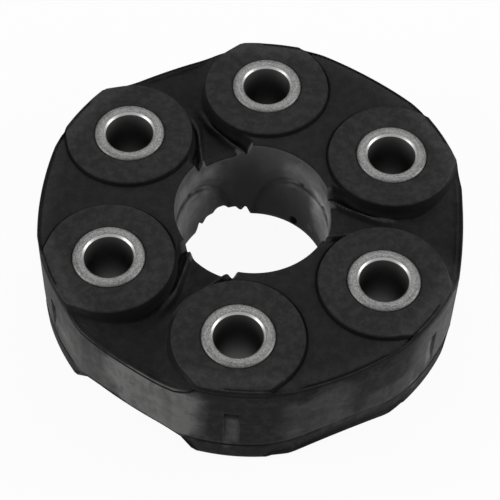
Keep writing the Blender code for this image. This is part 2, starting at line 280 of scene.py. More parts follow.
# Rubber body
# One moulding of carbon-black rubber, pressed in a two-part mould round the sleeves and cords.
# It has flat pads round the sleeves, three thick links and three thin ones, and a middle hole.

HOLE_RADIUS = 0.0197
WALL_REACH = 0.05435
THICK_LINK_REACH = 0.0537
THIN_LINK_REACH = 0.0532
BOSS_ARC = math.radians(15)
LEAN = SECTOR / 2
CORNER_AWAY = WALL_REACH * math.cos(LEAN - BOSS_ARC)
CORNER_ACROSS = WALL_REACH * math.sin(LEAN - BOSS_ARC)
FILLET = 0.0006

# What a band shapes is absent at the band's first value and full at its second

PAD_TOP = 0.0161
PAD_RADIUS = 0.01595
PAD_PAST_WALL = 0.0002
PAD_SLOPE = 5.0
PAD_SLOPE_LOST_AT_WALL = 2.6
PAD_FILLET = 0.0005
PAD_FILLET_GAINED_AT_WALL = 0.0012
PAD_WALL_BAND = (0.004, 0.0)
PAD_EDGE_BAND = (0.0010, -0.0010)
GROUND_BELOW_PAD = 0.0002
SEAT_STEP = 0.0008
SEAT_EDGE = 0.0001

LAND_TOP = 0.0150
LAND_SIDE_BAND = (-0.0036, -0.0018)
LAND_BY_HOLE_BAND = (0.0360, 0.0300)
LARGEST_BULGE_SHARE = 1.2

BEAD_HEIGHT = 0.0019
BEAD_HALF_GAP = 0.0018
BEAD_SPLAY = 0.35
BEAD_PARTING = 0.0300
BEAD_WIDTH = 0.0008
BEAD_WIDENING = 0.0006
BEAD_WIDE_BAND = (0.0280, 0.0340)
BEAD_END_BAND = (0.0430, 0.0310)
BEAD_GROOVE = 0.0022
BEAD_GROOVE_BAND = (BEAD_GROOVE - 0.0004, BEAD_GROOVE + 0.0014)

RAMP_HEIGHT = 0.0034
RAMP_WIDTH = 0.0062
RAMP_INNER_SHARE = 0.35
RAMP_WALL_BAND = (0.014, 0.001)
RAMP_START_BAND = (0.0360, 0.0440)
STEEPEST_CLIMB = 1.3

HOLE_RIM_RISE = 0.0006
HOLE_RIM_BAND = (0.0245, 0.0200)
APRON_BAND = (0.0255, 0.0210)
CHANNEL_BAND = (0.0010, 0.0024)

# Lips rise and creases sink: each has a height or depth, a place inside the edge, and a width
OUTER_LIP = (0.0005, 0.0003, 0.00032)
INNER_LIP = (0.0006, 0.0016, 0.0003)
LIP_BED_RISE = 0.0002
LIP_BED_BAND = (0.006, 0.001)
PAD_CREASE = (0.0004, 0.0005, 0.0002)
EDGE_CREASE = (0.0007, 0.0007, 0.0003)
CREASE_BAND = (0.9, 1.0)

EDGE_ROUNDING = 0.00035
PAD_EDGE_EXTRA_ROUNDING = 0.00065
HOLE_EDGE_ROUNDING = 0.0006

SLOT_WIDTH = 0.0035
SLOT_DEPTH = 0.0008
SLOT_TOP = 0.0050
SLOT_LOW = -0.0094
SLOT_FOOT_BAND = (SLOT_LOW, SLOT_LOW + 0.0060)
SLOT_HEAD_BAND = (0.0030, 0.0040)
SLOT_HEAD_EXTRA = 1.5

UPPER_SEAM = 0.0140
BOSS_SEAM = -0.0096
THICK_SEAM = -0.0060
THIN_SEAM = -0.0083
THICK_SEAM_BAND = (math.radians(5), math.radians(30))
THIN_SEAM_BAND = (math.radians(10), math.radians(20))
SEAM_BELOW_FACE = 0.0005
SEAM_ABOVE_FACE = 0.0006
UPPER_SEAM_GROOVE = (0.0007, 0.00035)
LOWER_SEAM_GROOVE = (0.0003, 0.00025)
BOSS_BAND = (math.radians(11), math.radians(8))
THICK_WALL_BAND = (BOSS_ARC * 0.8, BOSS_ARC * 1.3)
FLASH_STEP = 0.0001
THICK_FLASH_STEP = 0.0003
THICK_DRAFT = 0.0004
THICK_DRAFT_HEIGHT = 0.0045
TUCK_STEP = 0.00012
TUCK_SLOPE = 0.09
WALL_END_HEIGHT = 0.0003

CUSHION_MIDDLE = math.radians(42.5)
CUSHION_HALF_WIDTH = math.radians(50)
CUSHION_LOW = -0.0120
CUSHION_HEIGHT = 0.0165
CUSHION_SWELL = 0.0003
CUSHION_SWELL_BAND = (0.0, -0.0016)
CUSHION_GROOVE = (0.0008, 0.0, 0.0008)
CUSHION_SURROUND = (0.0003, 0.0042, 0.0014)

# Each nick, and the pin hole, has its direction in degrees and its height
HOLE_NICKS = [(140, 0.0125), (120, 0.0095), (120, 0.0005), (60, 0.0008), (58, 0.0125)]
HOLE_NICK = (0.0006, 0.0, 0.0008)
PIN_HOLE = (60, -0.0122)
PIN_HOLE_DEPTH = 0.0016
PIN_HOLE_BAND = (0.0014, 0.0009)
HOLE_EDGE_HEIGHT = 0.0012

WALL_STEPS = 52
HOLE_ROW_COUNT = 54
LINK_ROW_COUNT = 17
LEAST_ROW_GAP = 0.00002
WELD_DISTANCE = 0.000002
RUBBER_SHARP_ANGLE = math.radians(42)

PAD_ROWS = [0.00902, 0.00915, 0.0094, 0.0098, 0.0108, 0.0122, 0.0136]
EDGE_ROWS = [
    -0.0010, -0.0005, -0.0003, -0.0002, -0.0001, 0.0, 0.0001, 0.0002, 0.0003, 0.0004, 0.0005,
    0.0006, 0.0007, 0.0009, 0.0011, 0.0013, 0.0015, 0.0017, 0.0019, 0.0022, 0.0025, 0.0028,
    0.0031, 0.0034, 0.0037, 0.0040,
]
LOWER_EDGE_ROWS = EDGE_ROWS[:16:2] + EDGE_ROWS[17:]
RIM_ROWS = [
    0.0024, 0.0019, 0.0016, 0.0013, 0.0010, 0.00085, 0.0007, 0.00055, 0.0004, 0.0003, 0.00015,
    0.00005, 0.0,
]

# A face's floor is the height of its thin links. Its fold and slope are where a thick link starts
# to fall away and how steeply, and its bulge lifts that edge again beside the bosses. Its ear is
# the direction of the pads' ears, its apron lifts the floor by the hole, and its edging is the
# share of the fine lips and creases that it has.
Face = namedtuple("Face", "floor fold slope ear bulge apron edging")
UPPER_FACE = Face(0.0104, 0.0502, 0.17, math.radians(8), 0.0002, 0.0, 1.0)
LOWER_FACE = Face(0.0090, 0.0459, 0.34, math.radians(9.5), 0.0026, 0.0016, 0.0)


def smooth_step(value, low, high):
    share = np.clip((value - low) / (high - low), 0.0, 1.0)
    return share * share * (3 - 2 * share)


def smooth_max(a, b, fillet):
    near = np.clip(1 - np.abs(a - b) / fillet, 0.0, 1.0)
    return np.maximum(a, b) + near * near * fillet / 4


def smooth_min(a, b, fillet):
    return -smooth_max(-a, -b, fillet)


def ridge(value, height, centre, width):
    return height * np.exp(-(((value - centre) / width) ** 2))


def edge_drop(gap, rounding):
    """How far a rounded edge has fallen at each distance inside the edge."""
    share = np.clip(1 - gap / rounding, 0.0, 1.0)
    return rounding * (1 - np.sqrt(1 - share * share))


def teardrop_radius(angle, radius, tip_x, tip_y):
    """How far a circle drawn out to two tip corners reaches from its middle in each direction."""
    tip_angle = math.atan2(tip_y, tip_x)
    tip_distance = math.hypot(tip_x, tip_y)
    lean = math.acos(min(1.0, radius / tip_distance))
    off = np.abs((angle + math.pi) % math.tau - math.pi)
    along_tangent = radius / np.cos(np.clip(off - tip_angle - lean, -1.0, 1.0))
    return np.where(off > tip_angle + lean, radius, along_tangent)


def pad_radius(angle, ear):
    """The pad's edge round one sleeve: a circle with two ears that run out along the wall."""
    reach = WALL_REACH + PAD_PAST_WALL
    ear_x = reach * math.cos(ear) - BOLT_CIRCLE_RADIUS
    ear_y = reach * math.sin(ear)
    return teardrop_radius(angle, PAD_RADIUS, ear_x, ear_y)


def past_pad_edge(x, y, face):
    """How far outside the pad's edge each place lies, measured from the sleeve."""
    from_sleeve = np.hypot(x - BOLT_CIRCLE_RADIUS, y)
    angle = np.arctan2(y, x - BOLT_CIRCLE_RADIUS)
    return from_sleeve - pad_radius(angle, face.ear)


def along_link(x, y, side):
    """Places measured along a link from the shaft, and across it: side 1 is thick, -1 is thin.

    The sleeve's frame has the shaft at the origin, x towards the sleeve and y to the thick link.
    """
    lean = side * LEAN
    away = x * math.cos(lean) + y * math.sin(lean)
    across = side * (x * math.sin(lean) - y * math.cos(lean))
    return away, across


def wall_side(share, reach):
    """A link's side, from its middle at 0 to the boss at 1, as distances along and across it."""
    return CORNER_AWAY + (reach - CORNER_AWAY) * (1 - share**2), CORNER_ACROSS * share


def wall_gap(x, y):
    """How far inside the outer wall each place lies."""
    gap = WALL_REACH - np.hypot(x, y)
    for side, reach in ((1, THICK_LINK_REACH), (-1, THIN_LINK_REACH)):
        away, across = along_link(x, y, side)
        share = np.abs(across) / CORNER_ACROSS
        wall = wall_side(np.minimum(share, 1.0), reach)[0]
        gap = np.where((share < 1.0) & (away > BOLT_CIRCLE_RADIUS), wall - away, gap)
    return gap


def link_wall(share, side, reach):
    """Points on the outer wall of half a link, in the sleeve's frame."""
    away, across = wall_side(share, reach)
    x = away * math.cos(LEAN) + across * math.sin(LEAN)
    y = side * (away * math.sin(LEAN) - across * math.cos(LEAN))
    return list(zip(x, y))


def boss_wall():
    """Points on the arc beside the sleeve, closest at the two edges of the slot."""
    arc = list(np.linspace(-BOSS_ARC, BOSS_ARC, 22))
    for side in (-1, 1):
        for gap in (-0.0001, 0.0001):
            arc.append(side * (SLOT_WIDTH / 2 + gap) / WALL_REACH)
    return [(WALL_REACH * math.cos(angle), WALL_REACH * math.sin(angle)) for angle in sorted(arc)]


def hole_angles():
    """Directions round the hole's share of one sixth, closest where the beads reach its edge."""
    beads_start = math.radians(-2)
    beads_end = math.radians(-22)
    thick_side = np.linspace(LEAN, beads_start, 18)
    bead_side = np.linspace(beads_start, beads_end, 23)
    thin_middle = np.linspace(beads_end, -LEAN, 5)
    return np.concatenate([thick_side, bead_side[1:], thin_middle[1:]])


def cell_boundary():
    """The edge of one sleeve's sixth of the disc, anticlockwise from the thin link's corner."""
    boss = boss_wall()
    share = np.linspace(0.0, 1.0, (WALL_STEPS - len(boss)) // 2 + 1)[:-1]
    wall = link_wall(share, -1, THIN_LINK_REACH) + boss
    wall += link_wall(share[::-1], 1, THICK_LINK_REACH)
    near_wall = np.array(
        [0.00015, 0.0003, 0.0005, 0.0007, 0.0009, 0.0012, 0.0015, 0.0018, 0.0022]
    )
    near_hole = np.array([0.0002, 0.0005, 0.0009])
    middle = np.linspace(THIN_LINK_REACH - 0.0032, HOLE_RADIUS + 0.0016, LINK_ROW_COUNT)
    outer = THICK_LINK_REACH - near_wall
    down = np.concatenate([outer, middle, HOLE_RADIUS + near_hole[::-1]])
    outer = THIN_LINK_REACH - near_wall[::-1]
    up = np.concatenate([HOLE_RADIUS + near_hole, middle[::-1], outer])
    points = list(wall)
    points += [(away * math.cos(LEAN), away * math.sin(LEAN)) for away in down]
    points += [(HOLE_RADIUS * math.cos(a), HOLE_RADIUS * math.sin(a)) for a in hole_angles()]
    points += [(away * math.cos(LEAN), -away * math.sin(LEAN)) for away in up]
    return np.array(points), len(wall), len(wall) + len(down)


def land_height(x, y, face):
    """A thick link: flat over the cord loops, and then falling away to the outer wall."""
    away, across = along_link(x, y, 1)
    share = across / CORNER_ACROSS
    bulge = face.bulge * np.minimum(share**2, LARGEST_BULGE_SHARE)
    fall = LAND_TOP - (away - face.fold) * face.slope + bulge
    return smooth_min(np.full_like(x, LAND_TOP), fall, FILLET)


def bead_offset(x, y):
    """How far outside the middle of the nearer bead each place on a thin link lies."""
    away, across = along_link(x, y, -1)
    return np.abs(across) - BEAD_HALF_GAP - BEAD_SPLAY * np.maximum(BEAD_PARTING - away, 0.0)


def bead_height(x, y):
    """Two beads that run side by side down the thin link, and part towards the hole."""
    away = along_link(x, y, -1)[0]
    width = BEAD_WIDTH + BEAD_WIDENING * smooth_step(away, *BEAD_WIDE_BAND)
    return ridge(bead_offset(x, y), BEAD_HEIGHT, 0.0, width) * smooth_step(away, *BEAD_END_BAND)


def ramp_height(x, y, face):
    """The climb from the thin link's floor to the foot of the pad, widest along the wall."""
    away = along_link(x, y, -1)[0]
    near_wall = smooth_step(wall_gap(x, y), *RAMP_WALL_BAND)
    reach = RAMP_INNER_SHARE + (1 - RAMP_INNER_SHARE) * near_wall
    climb = np.clip(1 - past_pad_edge(x, y, face) / (RAMP_WIDTH * reach), 0.0, STEEPEST_CLIMB)
    return RAMP_HEIGHT * reach * climb * climb * smooth_step(away, *RAMP_START_BAND)


def lip_height(gap):
    """Two fine raised lips along the thin link's outer edge."""
    lips = ridge(gap, *OUTER_LIP) + ridge(gap, *INNER_LIP)
    return lips + LIP_BED_RISE * smooth_step(gap, *LIP_BED_BAND)


def thin_height(x, y, face):
    """A thin link: a low floor that ramps up to each pad outside, and has two beads inside."""
    across = along_link(x, y, -1)[1]
    from_shaft = np.hypot(x, y)
    rim = HOLE_RIM_RISE * smooth_step(from_shaft, *HOLE_RIM_BAND)
    beside_channel = smooth_step(np.abs(across), *CHANNEL_BAND)
    apron = face.apron * beside_channel * smooth_step(from_shaft, *APRON_BAND)
    bead = bead_height(x, y)
    ramp = ramp_height(x, y, face)
    return face.floor + rim + apron + bead + ramp + face.edging * lip_height(wall_gap(x, y))


def land_share(x, y):
    """1 on a thick link, and on the land that runs on from it up to the grooves by the beads."""
    away = along_link(x, y, -1)[0]
    past_groove = smooth_step(bead_offset(x, y), *BEAD_GROOVE_BAND)
    beside_hole = past_groove * smooth_step(away, *LAND_BY_HOLE_BAND)
    return np.maximum(smooth_step(y, *LAND_SIDE_BAND), beside_hole)


def face_height(x, y, face):
    """One whole face of the rubber, between the sleeve's seat and the edges of its sixth."""
    past_pad = past_pad_edge(x, y, face)
    gap = wall_gap(x, y)
    share = land_share(x, y)
    thin = thin_height(x, y, face)
    ground = thin + (land_height(x, y, face) - thin) * share
    ground = smooth_min(ground, np.full_like(x, PAD_TOP - GROUND_BELOW_PAD), FILLET)
    near_wall = smooth_step(gap, *PAD_WALL_BAND)
    slope = PAD_SLOPE - PAD_SLOPE_LOST_AT_WALL * near_wall
    side = PAD_TOP + GROUND_BELOW_PAD - past_pad * slope
    fillet = PAD_FILLET + PAD_FILLET_GAINED_AT_WALL * near_wall
    pad = smooth_min(np.full_like(x, PAD_TOP), side, fillet)
    crease = ridge(past_pad, *PAD_CREASE) + ridge(gap, *EDGE_CREASE)
    on_land = smooth_step(share, *CREASE_BAND)
    whole = smooth_max(ground, pad, FILLET) - face.edging * on_land * crease
    rounding = EDGE_ROUNDING + PAD_EDGE_EXTRA_ROUNDING * smooth_step(past_pad, *PAD_EDGE_BAND)
    hole_gap = np.hypot(x, y) - HOLE_RADIUS
    return whole - edge_drop(gap, rounding) - edge_drop(hole_gap, HOLE_EDGE_ROUNDING)


def wall_slant(boundary, dx, dy, reach):
    """How squarely the boundary faces the sleeve, so that rows beside it stay a set distance in."""
    before = np.roll(boundary, 1, axis=0)
    along = np.roll(boundary, -1, axis=0) - before
    along /= np.linalg.norm(along, axis=1)[:, None]
    return np.clip((along[:, 1] * dx - along[:, 0] * dy) / reach, 0.35, 1.0)


def face_sheet(face, boundary, side, edge_rows, rim_rows):
    """Rows of points on one face, from the sleeve out to the edge of its sixth."""
    dx = boundary[:, 0] - BOLT_CIRCLE_RADIUS
    dy = boundary[:, 1]
    reach = np.hypot(dx, dy)
    angle = np.arctan2(dy, dx)
    slant = wall_slant(boundary, dx, dy, reach)
    pad = pad_radius(angle, face.ear)
    tiny = LEAST_ROW_GAP
    shares = (0.25, 0.5, 0.75)
    left = len(PAD_ROWS) + len(edge_rows) + len(rim_rows) + len(shares)
    rows = []
    for radius in PAD_ROWS:
        row = np.full(len(reach), radius)
        rows.append(np.minimum(row, reach - tiny * (left - len(rows))))
    for past in edge_rows:
        rows.append(np.minimum(pad + past, reach - tiny * (left - len(rows))))
    last = rows[-1]
    rim_start = np.maximum(reach - rim_rows[0] / slant, last + 4 * tiny)
    rim_start = np.minimum(rim_start, reach - tiny * len(rim_rows))
    for share in shares:
        rows.append(last + (rim_start - last) * share)
    for step, gap in enumerate(rim_rows):
        row = np.maximum(reach - gap / slant, rows[-1] + tiny * 0.1)
        rows.append(np.minimum(row, reach - tiny * 0.1 * (len(rim_rows) - 1 - step)))
    radii = np.array(rows)
    x = BOLT_CIRCLE_RADIUS + radii * np.cos(angle)
    y = radii * np.sin(angle)
    z = face_height(x, y, face)
    z[0] = PAD_TOP - SEAT_STEP
    z[1] = PAD_TOP - SEAT_EDGE
    return np.stack([x, y, side * z], axis=-1)


def cushion_gap(angle, z):
    """How far outside the arched edge of the nearest cushion each place on the hole's wall is."""
    off = (angle - CUSHION_MIDDLE + SECTOR) % (2 * SECTOR) - SECTOR
    across = np.abs(off) / CUSHION_HALF_WIDTH
    up = np.maximum(z - CUSHION_LOW, 0.0) / CUSHION_HEIGHT
    return ((across**2.5 + up**2) ** 0.45 - 1.0) * CUSHION_HEIGHT


def distance_on_hole(angle, z, degrees, height):
    """How far each place on the hole's wall lies from a spot on it."""
    off = HOLE_RADIUS * (angle - math.radians(degrees))
    return np.hypot(off, z - height)


def hole_recess(angle, z):
    """How far the middle hole's wall stands back at each place."""
    gap = cushion_gap(angle, z)
    recess = ridge(gap, *CUSHION_GROOVE) - CUSHION_SWELL * smooth_step(gap, *CUSHION_SWELL_BAND)
    recess = recess - ridge(gap, *CUSHION_SURROUND)
    for spot in HOLE_NICKS:
        recess = recess + ridge(distance_on_hole(angle, z, *spot), *HOLE_NICK)
    pin = smooth_step(distance_on_hole(angle, z, *PIN_HOLE), *PIN_HOLE_BAND)
    return recess + PIN_HOLE_DEPTH * pin


def add_grid(points, faces, grid, closed=False):
    """Adds rows of points to a mesh, joined by faces."""
    rows, columns = grid.shape[:2]
    first = sum(len(part) for part in points)
    points.append(grid.reshape(-1, 3))
    numbers = first + np.arange(rows * columns).reshape(rows, columns)
    right = np.roll(numbers, -1, axis=1) if closed else numbers[:, 1:]
    left = numbers if closed else numbers[:, :-1]
    quads = np.stack([left[:-1], right[:-1], right[1:], left[1:]], axis=-1)
    faces.append(quads.reshape(-1, 4))


def lower_seam(angle):
    """The height of the lower mould seam: it climbs on the thick links."""
    thick = smooth_step(angle, *THICK_SEAM_BAND)
    thin = smooth_step(-angle, *THIN_SEAM_BAND)
    return BOSS_SEAM + (THICK_SEAM - BOSS_SEAM) * thick + (THIN_SEAM - BOSS_SEAM) * thin


def wall_heights(top_z, upper, lower, bottom_z):
    """Heights of the wall's rows, closest at the two mould seams and at the top of the slot."""
    heights = [top_z + (upper + 0.0003 - top_z) * share for share in (0.3, 0.6, 0.85)]
    heights += [upper + step for step in (0.0003, 0.00015, 0.0, -0.00015, -0.0003, -0.0006)]
    start = upper - 0.0006
    end = SLOT_TOP + 0.0002
    heights += [start + (end - start) * share for share in (0.2, 0.4, 0.6, 0.8, 1.0)]
    start = np.full_like(top_z, SLOT_TOP - 0.0001)
    end = lower + 0.0004
    shares = (0.0, 0.15, 0.3, 0.45, 0.6, 0.75, 0.9)
    heights += [start + (end - start) * share for share in shares]
    heights += [lower + step for step in (0.0004, 0.00015, 0.0, -0.00015, -0.0004)]
    start = lower - 0.0004
    heights += [start + (bottom_z - start) * share for share in (0.2, 0.4, 0.6, 0.8, 0.92)]
    return np.array(heights)


def slot_share(y, z):
    """1 in the short slot beside the sleeve, fading out at its foot, and more at its head."""
    inside = (np.abs(y) < SLOT_WIDTH / 2) & (z < SLOT_TOP)
    inside = inside * smooth_step(z, *SLOT_FOOT_BAND)
    return inside * (1 + SLOT_HEAD_EXTRA * smooth_step(z, *SLOT_HEAD_BAND))


def wall_rows(top, bottom):
    """The outer wall of one sixth, between the edges of its two faces."""
    x, y, top_z = top.T
    bottom_z = bottom[:, 2]
    radius = np.hypot(x, y)
    angle = np.arctan2(y, x)
    upper = np.minimum(top_z - SEAM_BELOW_FACE, UPPER_SEAM)
    lower = np.maximum(bottom_z + SEAM_ABOVE_FACE, lower_seam(angle))
    z = wall_heights(top_z, upper, lower, bottom_z)
    on_boss = smooth_step(np.abs(angle), *BOSS_BAND)
    depth, width = UPPER_SEAM_GROOVE
    groove = ridge(z, depth, upper - 0.0001, width)
    depth, width = LOWER_SEAM_GROOVE
    groove = groove + ridge(z, depth, lower, width)
    above = smooth_step(z, upper, upper + 0.0003)
    below = smooth_step(z, lower, lower - 0.0004)
    tuck = below * (TUCK_STEP + TUCK_SLOPE * np.maximum(lower - z, 0.0) * (1 - on_boss))
    lift = PAD_PAST_WALL * on_boss * np.maximum(above, below)
    thick = smooth_step(angle, *THICK_WALL_BAND)
    inset = (1 - on_boss) * above * (FLASH_STEP + THICK_FLASH_STEP * thick)
    inset = inset + THICK_DRAFT * thick * smooth_step(z, upper - THICK_DRAFT_HEIGHT, upper)
    top_end = np.minimum((top_z - z) / WALL_END_HEIGHT, 1.0)
    ends = top_end * np.minimum((z - bottom_z) / WALL_END_HEIGHT, 1.0)
    sunk = inset + tuck + SLOT_DEPTH * slot_share(y, z)
    outward = radius + ends * (lift * (1 - below) - groove) - sunk + lift * below
    return np.stack([outward * np.cos(angle), outward * np.sin(angle), z], axis=-1)


def hole_rows(top, bottom, turn, mirrored):
    """The middle hole's wall of one sixth, between the edges of its two faces."""
    angle = np.arctan2(top[:, 1], top[:, 0])
    top_z = top[:, 2]
    bottom_z = bottom[:, 2]
    shares = np.linspace(0.0, 1.0, HOLE_ROW_COUNT)[1:-1, None]
    z = top_z + (bottom_z - top_z) * shares
    around = (turn + (-angle if mirrored else angle)) % math.tau
    fade = smooth_step(z, top_z, top_z - HOLE_EDGE_HEIGHT)
    fade = fade * smooth_step(z, bottom_z, bottom_z + HOLE_EDGE_HEIGHT)
    outward = HOLE_RADIUS + fade * hole_recess(around[None, :], z)
    return np.stack([outward * np.cos(angle), outward * np.sin(angle), z], axis=-1)


def rubber_sixth(upper, lower, outside, inside, turn, mirrored):
    """One sixth turned into its place: its two faces, outer wall, hole and sleeve's seat."""
    points = []
    faces = []
    add_grid(points, faces, upper[::-1], closed=True)
    add_grid(points, faces, lower, closed=True)
    add_grid(points, faces, outside[::-1])
    add_grid(points, faces, inside[::-1])
    add_grid(points, faces, np.stack([upper[0], lower[0]]), closed=True)
    sixth = np.concatenate(points)
    quads = np.concatenate(faces)
    if mirrored:
        sixth = sixth * (1.0, -1.0, 1.0)
        quads = quads[:, ::-1]
    x = sixth[:, 0] * math.cos(turn) - sixth[:, 1] * math.sin(turn)
    y = sixth[:, 0] * math.sin(turn) + sixth[:, 1] * math.cos(turn)
    return np.stack([x, y, sixth[:, 2]], axis=-1), quads


def rubber_mesh():
    """Six sixths round the shaft's axis, every second one mirrored."""
    boundary, wall_end, hole_start = cell_boundary()
    upper = face_sheet(UPPER_FACE, boundary, 1.0, EDGE_ROWS, RIM_ROWS)
    lower = face_sheet(LOWER_FACE, boundary, -1.0, LOWER_EDGE_ROWS, RIM_ROWS[::2])
    wall = slice(0, wall_end)
    hole = slice(hole_start, hole_start + len(hole_angles()))
    outside = wall_rows(upper[-1, wall], lower[-1, wall])
    outside = np.concatenate([upper[-1:, wall], outside, lower[-1:, wall]])
    points = []
    faces = []
    for index in range(SLEEVE_COUNT):
        turn = sleeve_angle(index)
        mirrored = index % 2 == 1
        inside = hole_rows(upper[-1, hole], lower[-1, hole], turn, mirrored)
        inside = np.concatenate([upper[-1:, hole], inside, lower[-1:, hole]])
        sixth, quads = rubber_sixth(upper, lower, outside, inside, turn, mirrored)
        faces.append(quads + sum(len(part) for part in points))
        points.append(sixth)
    mesh = bpy.data.meshes.new("moulded_rubber")
    mesh.from_pydata(np.concatenate(points).tolist(), [], np.concatenate(faces).tolist())
    return mesh


def join_seams(mesh, distance):
    """Welds the sixths to each other along the middles of the links."""
    work = bmesh.new()
    work.from_mesh(mesh)
    bmesh.ops.remove_doubles(work, verts=work.verts, dist=distance)
    bmesh.ops.dissolve_degenerate(work, edges=work.edges, dist=distance / 2)
    bmesh.ops.recalc_face_normals(work, faces=work.faces)
    work.to_mesh(mesh)
    work.free()


LAND_BLACK = (0.0120, 0.0120, 0.0122)
PAD_BLACK = (0.0205, 0.0205, 0.0208)
# Worn patches, and painted highlights on pad edges, thick-link facets and bead crests
WORN_AND_HIGHLIGHT_BLACK = (0.048, 0.048, 0.048)
# Fine pits, and also painted shade on steep slopes and along the upper seam
PIT_AND_SHADE_BLACK = (0.0038, 0.0038, 0.0040)
WALL_BLACK = (0.0062, 0.0062, 0.0064)
# Grey bloom, and painted light: it is laid on most where the side lamps light the outer wall
BLOOM_AND_LIGHT_GREY = (0.155, 0.155, 0.153)
# Painted light: the middle hole's wall is coloured much paler than the rest of the rubber
HOLE_PAINTED_LIGHT_BLACK = (0.078, 0.078, 0.0785)
HOLE_PAINTED_LIGHT_GREY = (0.480, 0.480, 0.476)

CLOUDS_PER_METRE = 75
WANDERS_PER_METRE = 70
MOTTLES_PER_METRE = 430
STREAKS_PER_METRE = 420
STREAK_STRETCH = 0.12
RUBBER_GRAINS_PER_METRE = 1500
SPECKS_PER_METRE = 3800
RIPPLES_PER_METRE = 150
RUBBER_RELIEF = 0.00022
RUBBER_SPECULAR = 0.09

PAD_HEIGHTS = (0.0153, 0.0159)
# The thick links' outer facets, which get painted light, and the bead crests, which get painted
# glints
LAND_EDGE_HEIGHTS = (0.0125, 0.0138)
LAND_EDGE_REACH = (0.0485, 0.0525)
CREST_HEIGHTS = (0.0113, 0.0121, 0.0126, 0.0134)
CREST_REACH = (0.0440, 0.0370)
LIP_HEIGHTS = (0.0107, 0.0111, 0.0120, 0.0128)
LIP_REACH = (0.0505, 0.0520)
# Painted shade along the upper mould seam, just under the faces' edges
SEAM_SHADE_HEIGHTS = (0.0129, 0.0133, 0.0139, 0.0144)
WALL_REACH_BAND = (0.0500, 0.0520)
HOLE_REACH_BAND = (0.0216, 0.0204)

# Each patch has its direction and spread in degrees, its low and high edges in millimetres, and
# how much it adds: grey bloom with painted light on the outer wall and slots, painted light in the
# hole
WALL_BLOOM_AND_LIGHT_PATCHES = [
    (203, 19, -9, 12, 0.26),
    (228, 17, -9, 11, 0.38),
    (249, 16, -9, 11, 0.98),
    (293, 12, -6, 10, 0.30),
    (315, 12, -9, 1, 0.26),
    (335, 16, -10, 12, 0.48),
    (8, 26, -9, 10, 0.40),
    (52, 30, -8, 12, 0.36),
    (98, 28, -9, 12, 0.40),
    (142, 32, -9, 11, 0.45),
]
# Painted light in the middle hole: paler patches where light falls on its wall, most low on its
# sides
HOLE_LIGHT_PATCHES = [
    (155, 38, -16, 3, 0.38),
    (150, 34, 5, 10, 0.25),
    (24, 23, -10, 8, 0.66),
    (48, 24, 3, 12, 0.20),
    (270, 60, -10, 6, 0.35),
]
# Bloom and painted light on each slot's floor, kept below its head
SLOT_BLOOM_AND_LIGHT_PATCHES = [
    (math.degrees(sleeve_angle(index)), 2.4, -8, 2, 0.55) for index in range(SLEEVE_COUNT)
]
WALL_BLOOM_AND_LIGHT = 0.012
HOLE_PAINTED_LIGHT_BASE = 0.06
PATCH_SOFTNESS = 2
PATCH_WANDER = 16

Tones = namedtuple("Tones", "from_axis height upright clouds wander mottle grain")


def rubber_tones(place):
    """Where each point lies, how upright the surface is there, and its shares of the noises."""
    facing = place.node("NewGeometry", None, None, "Normal").part("Z")
    return Tones(
        from_axis=distance_from_axis(place),
        height=place.part("Z").absolute(),
        upright=1 - facing.absolute(),
        clouds=place.noise(CLOUDS_PER_METRE, detail=5.0, roughness=0.62),
        wander=place.noise(WANDERS_PER_METRE, detail=5.0, roughness=0.62) - 0.5,
        mottle=place.noise(MOTTLES_PER_METRE, detail=4.0, roughness=0.72),
        grain=place.noise(RUBBER_GRAINS_PER_METRE, detail=4.0, roughness=0.7),
    )


def pale_patch_area(place, wander, degrees, spread, low, high):
    """1 inside an area of a round wall, with soft uneven edges."""
    x = place.part("X")
    y = place.part("Y")
    turn = math.radians(degrees)
    toward = (x * math.cos(turn) + y * math.sin(turn)) / (x**2 + y**2) ** 0.5
    edge = math.cos(math.radians(spread))
    height = place.part("Z") * 1000 + PATCH_WANDER * wander
    beside = (toward + 1.4 * (1 - edge) * wander).between(edge, 0.2 * edge + 0.8)
    soft = PATCH_SOFTNESS
    return beside * height.within(low - soft, low + soft, high - soft, high + soft)


def bloom_and_light_share(place, wander, everywhere, pale_patches):
    """How much bloom and painted light a wall has: a little everywhere, and more in each patch."""
    share = everywhere
    for *area, strength in pale_patches:
        share = share + pale_patch_area(place, wander, *area) * strength
    return share


def wear_and_highlight_share(tones, top):
    """How far pads and links are paled: worn patches, painted highlights on edges and facets,
    painted glints on bead crests, paler lips.
    """
    wear_and_highlight = 0.40 * tones.mottle.between(0.42, 0.66) + 0.30 * tones.clouds.between(0.42, 0.70)
    # Painted light on the thick links' outer facets, which slope out and up
    lit_land_edge = tones.height.between(*LAND_EDGE_HEIGHTS)
    wear_and_highlight = wear_and_highlight + 0.85 * lit_land_edge * tones.from_axis.between(*LAND_EDGE_REACH)
    # Painted highlight on the pads' rounded edges
    wear_and_highlight = wear_and_highlight + 0.5 * top * tones.upright.between(0.08, 0.35)
    # Painted glints on the bead crests
    crest_glint = tones.height.within(*CREST_HEIGHTS) * tones.from_axis.between(*CREST_REACH)
    lip = tones.height.within(*LIP_HEIGHTS) * tones.from_axis.between(*LIP_REACH)
    wear_and_highlight = wear_and_highlight + 2.6 * crest_glint + 0.7 * lip
    wear_and_highlight = wear_and_highlight * (0.5 + tones.grain.between(0.40, 0.70))
    return (wear_and_highlight * (0.35 + 0.65 * top)).clipped()


